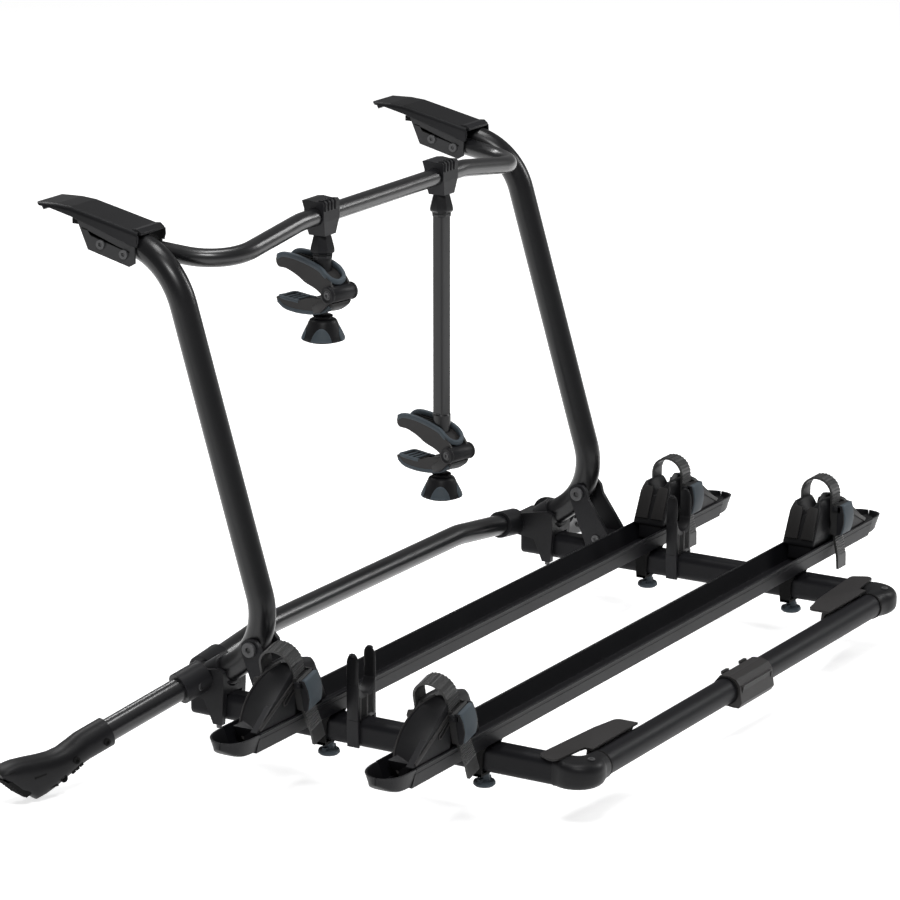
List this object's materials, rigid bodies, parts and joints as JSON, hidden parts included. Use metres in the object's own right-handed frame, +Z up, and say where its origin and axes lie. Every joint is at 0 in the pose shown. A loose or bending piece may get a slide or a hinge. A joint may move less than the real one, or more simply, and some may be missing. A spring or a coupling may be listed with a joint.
{
  "type": "van rear door bicycle carrier",
  "caption": "Rear door bicycle carrier for a van: a bent tube frame with hooks and feet, a fold-up platform with wheel trays, and clamp arms that hold the bicycles.",
  "frame": {"origin": "midway between the two top hooks, where they rest on the top edge of the door", "axes": "+Z up, +Y towards the van, +X to the right when looking at the van's rear doors"},
  "size_m": [1.3154, 0.7325, 0.6224],
  "materials": {
    "tube_black": "satin black powder coat",
    "upright_black": "satin black powder coat",
    "beam_black": "matte black coat with a fine grain",
    "tray_black": "black anodised extrusion",
    "plate_grey": "dark grey coated steel plate",
    "plastic_black": "moulded black, fine texture",
    "plastic_dark_grey": "moulded dark grey",
    "plastic_blue_grey": "soft blue grey grip",
    "strap_black": "ribbed flexible strap",
    "rubber_black": "grippy rubber",
    "screw_dark": "dark coated steel"
  },
  "bodies": {
    "door_frame": {"upright_left": "upright_black", "upright_right": "upright_black", "upper_cross_tube": "tube_black", "lower_cross_tube": "tube_black", "hook_cover_left": "plastic_black", "hook_cover_right": "plastic_black", "hook_side_plates": "plate_grey", "hook_door_blocks": "rubber_black", "clamp_casting_left": "plastic_black", "clamp_casting_right": "plastic_black", "frame_screws": "screw_dark", "fold_bolts": "screw_dark"},
    "platform": {"beam_left": "beam_black", "beam_right": "beam_black", "beam_end_caps": "plastic_black", "corner_elbows": "plastic_black", "rear_bar": "beam_black", "bar_sleeve": "plastic_dark_grey", "fold_brackets": "plastic_black", "platform_screws": "screw_dark", "tube_clips": "plastic_black", "light_brackets": "plastic_dark_grey"},
    "left_foot": {"foot_arm_left": "tube_black", "foot_shell_left": "plastic_black", "foot_pad_left": "rubber_black"},
    "right_foot": {"foot_arm_right": "tube_black", "foot_shell_right": "plastic_black", "foot_pad_right": "rubber_black"},
    "inner_tray_set": {"inner_tray": "tray_black", "inner_tray_scoops": "plastic_black", "inner_tray_saddles": "plastic_black"},
    "inner_left_thumb_knob": {"inner_thumb_knob_left": "plastic_blue_grey"},
    "inner_left_holder": {"inner_wheel_holder_left": "plastic_black", "inner_wheel_strap_left": "strap_black"},
    "inner_left_lever": {"inner_buckle_lever_left": "plastic_blue_grey"},
    "inner_right_thumb_knob": {"inner_thumb_knob_right": "plastic_blue_grey"},
    "inner_right_holder": {"inner_wheel_holder_right": "plastic_black", "inner_wheel_strap_right": "strap_black"},
    "inner_right_lever": {"inner_buckle_lever_right": "plastic_blue_grey"},
    "outer_tray_set": {"outer_tray": "tray_black", "outer_tray_scoops": "plastic_black", "outer_tray_saddles": "plastic_black"},
    "outer_left_thumb_knob": {"outer_thumb_knob_left": "plastic_blue_grey"},
    "outer_left_holder": {"outer_wheel_holder_left": "plastic_black", "outer_wheel_strap_left": "strap_black"},
    "outer_left_lever": {"outer_buckle_lever_left": "plastic_blue_grey"},
    "outer_right_thumb_knob": {"outer_thumb_knob_right": "plastic_blue_grey"},
    "outer_right_holder": {"outer_wheel_holder_right": "plastic_black", "outer_wheel_strap_right": "strap_black"},
    "outer_right_lever": {"outer_buckle_lever_right": "plastic_blue_grey"},
    "short_arm_head_set": {"short_arm_head": "plastic_black"},
    "short_arm_swivel": {"short_arm_tube": "upright_black", "short_arm_upper_jaw": "plastic_dark_grey"},
    "short_arm_lower": {"short_arm_lower_jaw": "plastic_dark_grey"},
    "short_arm_knob": {"short_arm_torque_knob": "plastic_black"},
    "long_arm_head_set": {"long_arm_head": "plastic_black"},
    "long_arm_swivel": {"long_arm_tube": "upright_black", "long_arm_upper_jaw": "plastic_dark_grey"},
    "long_arm_lower": {"long_arm_lower_jaw": "plastic_dark_grey"},
    "long_arm_knob": {"long_arm_torque_knob": "plastic_black"}
  },
  "joints": [
    {"name": "platform_fold", "type": "hinge", "parent": "door_frame", "child": "platform", "pos_m": [0, -0.275, -0.472], "axis": [-1, 0, 0], "range_deg": [0, 94]},
    {"name": "left_foot_slide", "type": "slide", "parent": "door_frame", "child": "left_foot", "axis": [-0.8914, 0.3488, -0.2893], "range_m": [0, 0.01]},
    {"name": "right_foot_slide", "type": "slide", "parent": "door_frame", "child": "right_foot", "axis": [0.8914, 0.3488, -0.2893], "range_m": [0, 0.01]},
    {"name": "inner_tray_slide", "type": "slide", "parent": "platform", "child": "inner_tray_set", "axis": [0, 1, 0], "range_m": [-0.008, 0.008]},
    {"name": "inner_left_thumb_knob_turn", "type": "hinge", "parent": "inner_tray_set", "child": "inner_left_thumb_knob", "pos_m": [-0.375, -0.366, -0.576], "axis": [0, 0, 1], "continuous": true},
    {"name": "inner_left_holder_slide", "type": "slide", "parent": "inner_tray_set", "child": "inner_left_holder", "axis": [-1, 0, 0], "range_m": [-0.02, 0.008]},
    {"name": "inner_left_lever_swing", "type": "hinge", "parent": "inner_left_holder", "child": "inner_left_lever", "pos_m": [-0.46911, -0.3953, -0.46441], "axis": [-0.9659, 0, -0.2588], "range_deg": [0, 57]},
    {"name": "inner_right_thumb_knob_turn", "type": "hinge", "parent": "inner_tray_set", "child": "inner_right_thumb_knob", "pos_m": [0.375, -0.366, -0.576], "axis": [0, 0, 1], "continuous": true},
    {"name": "inner_right_holder_slide", "type": "slide", "parent": "inner_tray_set", "child": "inner_right_holder", "axis": [1, 0, 0], "range_m": [-0.015, 0.02]},
    {"name": "inner_right_lever_swing", "type": "hinge", "parent": "inner_right_holder", "child": "inner_right_lever", "pos_m": [0.433, -0.3953, -0.464], "axis": [-1, 0, 0], "range_deg": [0, 57]},
    {"name": "outer_tray_slide", "type": "slide", "parent": "platform", "child": "outer_tray_set", "axis": [0, 1, 0], "range_m": [-0.02, 0.08]},
    {"name": "outer_left_thumb_knob_turn", "type": "hinge", "parent": "outer_tray_set", "child": "outer_left_thumb_knob", "pos_m": [-0.375, -0.5696, -0.576], "axis": [0, 0, 1], "continuous": true},
    {"name": "outer_left_holder_slide", "type": "slide", "parent": "outer_tray_set", "child": "outer_left_holder", "axis": [-1, 0, 0], "range_m": [-0.05, 0.008]},
    {"name": "outer_left_lever_swing", "type": "hinge", "parent": "outer_left_holder", "child": "outer_left_lever", "pos_m": [-0.47711, -0.5989, -0.46441], "axis": [-0.9659, 0, -0.2588], "range_deg": [0, 57]},
    {"name": "outer_right_thumb_knob_turn", "type": "hinge", "parent": "outer_tray_set", "child": "outer_right_thumb_knob", "pos_m": [0.375, -0.5696, -0.576], "axis": [0, 0, 1], "continuous": true},
    {"name": "outer_right_holder_slide", "type": "slide", "parent": "outer_tray_set", "child": "outer_right_holder", "axis": [1, 0, 0], "range_m": [-0.04, 0.02]},
    {"name": "outer_right_lever_swing", "type": "hinge", "parent": "outer_right_holder", "child": "outer_right_lever", "pos_m": [0.449, -0.5989, -0.464], "axis": [-1, 0, 0], "range_deg": [0, 57]},
    {"name": "short_arm_slide", "type": "slide", "parent": "door_frame", "child": "short_arm_head_set", "axis": [1, 0, 0], "range_m": [-0.015, 0.06]},
    {"name": "short_arm_turn", "type": "hinge", "parent": "short_arm_head_set", "child": "short_arm_swivel", "pos_m": [-0.134, -0.207, -0.05], "axis": [0, 0, 1], "range_deg": [-90, 90]},
    {"name": "short_arm_grip", "type": "hinge", "parent": "short_arm_swivel", "child": "short_arm_lower", "pos_m": [-0.13971, -0.23339, -0.116], "axis": [0.9774, -0.2113, 0], "range_deg": [-25, 16]},
    {"name": "short_arm_knob_turn", "type": "hinge", "parent": "short_arm_lower", "child": "short_arm_knob", "pos_m": [-0.134, -0.207, -0.162], "axis": [0, 0, 1], "continuous": true},
    {"name": "long_arm_slide", "type": "slide", "parent": "door_frame", "child": "long_arm_head_set", "axis": [1, 0, 0], "range_m": [-0.06, 0.012]},
    {"name": "long_arm_turn", "type": "hinge", "parent": "long_arm_head_set", "child": "long_arm_swivel", "pos_m": [0.1325, -0.207, -0.05], "axis": [0, 0, 1], "range_deg": [-90, 90]},
    {"name": "long_arm_grip", "type": "hinge", "parent": "long_arm_swivel", "child": "long_arm_lower", "pos_m": [0.12679, -0.23339, -0.371], "axis": [0.9774, -0.2113, 0], "range_deg": [-25, 16]},
    {"name": "long_arm_knob_turn", "type": "hinge", "parent": "long_arm_lower", "child": "long_arm_knob", "pos_m": [0.1325, -0.207, -0.417], "axis": [0, 0, 1], "continuous": true}
  ]
}
